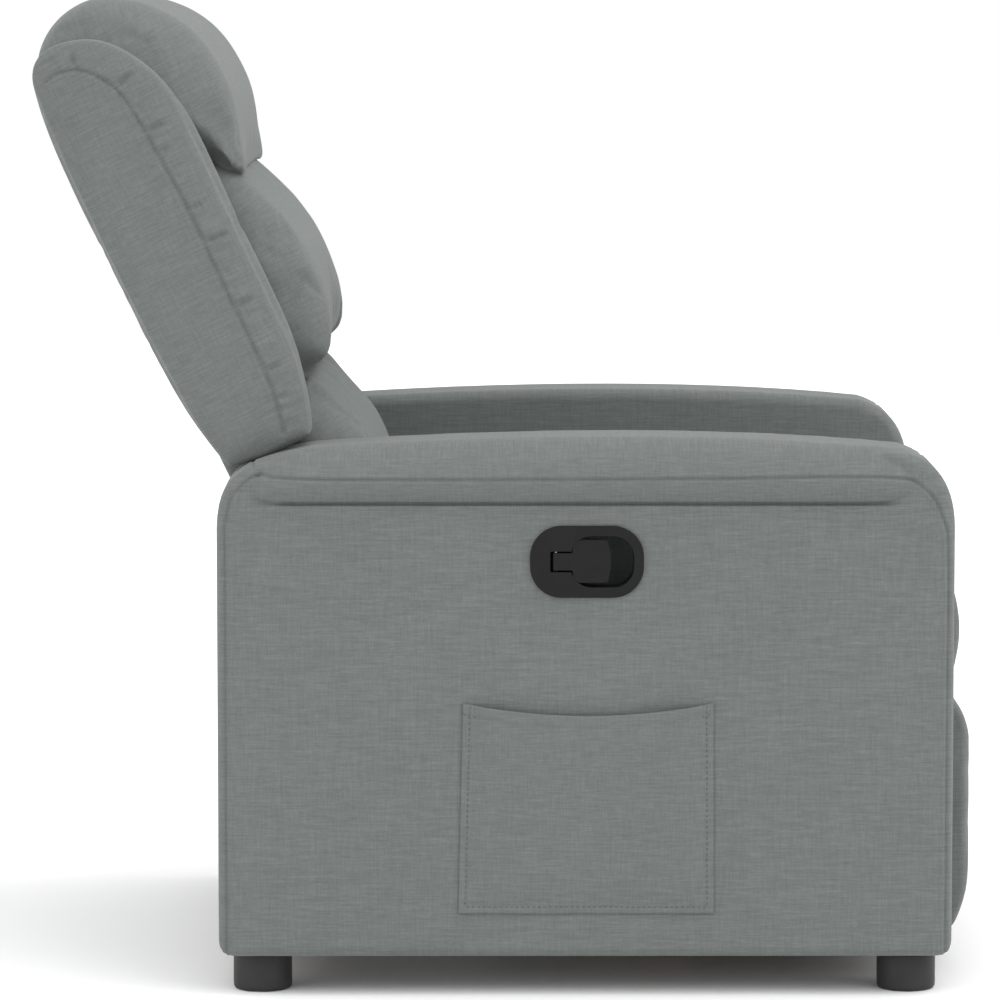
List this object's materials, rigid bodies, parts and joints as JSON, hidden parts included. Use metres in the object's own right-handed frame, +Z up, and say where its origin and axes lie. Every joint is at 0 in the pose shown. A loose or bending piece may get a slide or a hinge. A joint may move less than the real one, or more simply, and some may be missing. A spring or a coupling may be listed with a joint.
{
  "type": "recliner armchair",
  "caption": "Upholstered manual recliner: wall-saving backrest, fold-out footrest on a lazy-tongs linkage, flush pull latch and side pocket.",
  "frame": {"origin": "on the floor, under the middle of the chair's bounding box", "axes": "+X is the way the sitter faces, +Y is the sitter's left, +Z is up; the latch and the pocket are on the -Y arm"},
  "size_m": [0.9699, 0.74, 1.0217],
  "materials": {
    "upholstery": "matte",
    "webbing": "matte",
    "wood": "matte",
    "leg_plastic": "satin",
    "latch_plastic": "satin",
    "cable_sheath": "satin",
    "mechanism_steel": "satin",
    "spring_steel": "satin"
  },
  "bodies": {
    "base": {"left_arm_frame": "wood", "left_arm_cover": "upholstery", "right_arm_frame": "wood", "right_arm_cover": "upholstery", "front_left_leg": "leg_plastic", "rear_left_leg": "leg_plastic", "front_right_leg": "leg_plastic", "rear_right_leg": "leg_plastic", "front_stretcher": "wood", "rear_stretcher": "wood", "rear_apron": "upholstery", "left_base_rail": "mechanism_steel", "right_base_rail": "mechanism_steel", "latch_housing": "latch_plastic", "latch_hinge_pin": "spring_steel", "latch_spring": "spring_steel", "lock_bracket": "mechanism_steel", "release_cable": "cable_sheath", "side_pocket": "upholstery"},
    "front_swing_links": {"front_left_swing_link": "mechanism_steel", "front_right_swing_link": "mechanism_steel"},
    "rear_swing_links": {"rear_left_swing_link": "mechanism_steel", "rear_right_swing_link": "mechanism_steel"},
    "seat_carriage": {"left_seat_plate": "mechanism_steel", "right_seat_plate": "mechanism_steel", "seat_frame": "wood", "seat_spring_1": "spring_steel", "seat_spring_2": "spring_steel", "seat_spring_3": "spring_steel", "seat_spring_4": "spring_steel", "seat_cushion": "upholstery", "left_footrest_spring": "spring_steel", "right_footrest_spring": "spring_steel"},
    "backrest": {"back_frame": "wood", "back_webbing_1": "webbing", "back_webbing_2": "webbing", "back_webbing_3": "webbing", "left_back_bracket": "mechanism_steel", "right_back_bracket": "mechanism_steel", "left_bolster": "upholstery", "right_bolster": "upholstery", "headrest_cushion": "upholstery", "middle_back_cushion": "upholstery", "lower_back_cushion": "upholstery", "back_rear_panel": "upholstery"},
    "footrest_rear_links": {"left_rear_link": "mechanism_steel", "right_rear_link": "mechanism_steel", "footrest_torque_tube": "mechanism_steel"},
    "footrest_front_links": {"left_front_link": "mechanism_steel", "right_front_link": "mechanism_steel"},
    "footrest_outer_links": {"left_outer_link": "mechanism_steel", "right_outer_link": "mechanism_steel"},
    "footrest_lower_links": {"left_lower_link": "mechanism_steel", "right_lower_link": "mechanism_steel"},
    "footrest": {"left_footrest_bracket": "mechanism_steel", "right_footrest_bracket": "mechanism_steel", "footrest_board": "wood", "footrest_pad": "upholstery"},
    "release_lever": {"release_lever": "latch_plastic"},
    "lock_pawl": {"lock_pawl": "mechanism_steel"}
  },
  "joints": [
    {"name": "back_recline", "type": "hinge", "parent": "seat_carriage", "child": "backrest", "pos_m": [-0.215, 0, 0.34], "axis": [0, -1, 0], "range_deg": [0, 27]},
    {"name": "front_link_swing", "type": "hinge", "parent": "base", "child": "front_swing_links", "pos_m": [0.15, 0, 0.15], "axis": [0, 1, 0], "range_deg": [0, 33.8]},
    {"name": "rear_link_swing", "type": "hinge", "parent": "base", "child": "rear_swing_links", "pos_m": [-0.13, 0, 0.15], "axis": [0, 1, 0], "range_deg": [0, 33.8]},
    {"name": "carriage_level", "type": "hinge", "parent": "front_swing_links", "child": "seat_carriage", "pos_m": [0.11922, 0, 0.23457], "axis": [0, 1, 0], "range_deg": [-33.8, 0]},
    {"name": "footrest_extension", "type": "hinge", "parent": "seat_carriage", "child": "footrest_rear_links", "pos_m": [0.37, 0, 0.2416], "axis": [0, -1, 0], "range_deg": [0, 126.57], "deforming": ["left_footrest_spring", "right_footrest_spring"]},
    {"name": "front_link_turn", "type": "hinge", "parent": "seat_carriage", "child": "footrest_front_links", "pos_m": [0.4154, 0, 0.2719], "axis": [0, -1, 0], "range_deg": [0, 122.8]},
    {"name": "outer_link_turn", "type": "hinge", "parent": "footrest_rear_links", "child": "footrest_outer_links", "pos_m": [0.2533, 0, 0.1041], "axis": [0, -1, 0], "range_deg": [-118.6, 0]},
    {"name": "footrest_turn", "type": "hinge", "parent": "footrest_outer_links", "child": "footrest", "pos_m": [0.418, 0, 0.22], "axis": [0, -1, 0], "range_deg": [0, 84]},
    {"name": "lower_link_turn", "type": "hinge", "parent": "footrest_front_links", "child": "footrest_lower_links", "pos_m": [0.2859, 0, 0.0799], "axis": [0, -1, 0], "range_deg": [-113, 0]},
    {"name": "lock_release", "type": "hinge", "parent": "base", "child": "lock_pawl", "pos_m": [0.2, 0, 0.15], "axis": [0, 1, 0], "range_deg": [0, 15], "stiffness_Nm_per_rad": 1, "springref_deg": -28.65},
    {"name": "lever_pull", "type": "hinge", "parent": "base", "child": "release_lever", "pos_m": [0.051, -0.357, 0.446], "axis": [0, 0, -1], "range_deg": [0, 30.1]}
  ],
  "couplings": [
    {"joint": "front_link_swing", "follows": "back_recline", "ratio": 1.25},
    {"joint": "rear_link_swing", "follows": "back_recline", "ratio": 1.25},
    {"joint": "carriage_level", "follows": "back_recline", "ratio": -1.25},
    {"joint": "front_link_turn", "follows": "footrest_extension", "ratio": 0.9686},
    {"joint": "outer_link_turn", "follows": "footrest_extension", "ratio": -0.9352},
    {"joint": "footrest_turn", "follows": "footrest_extension", "ratio": 0.6621},
    {"joint": "lower_link_turn", "follows": "footrest_extension", "ratio": -0.8914},
    {"joint": "lever_pull", "follows": "lock_release", "ratio": 2}
  ]
}
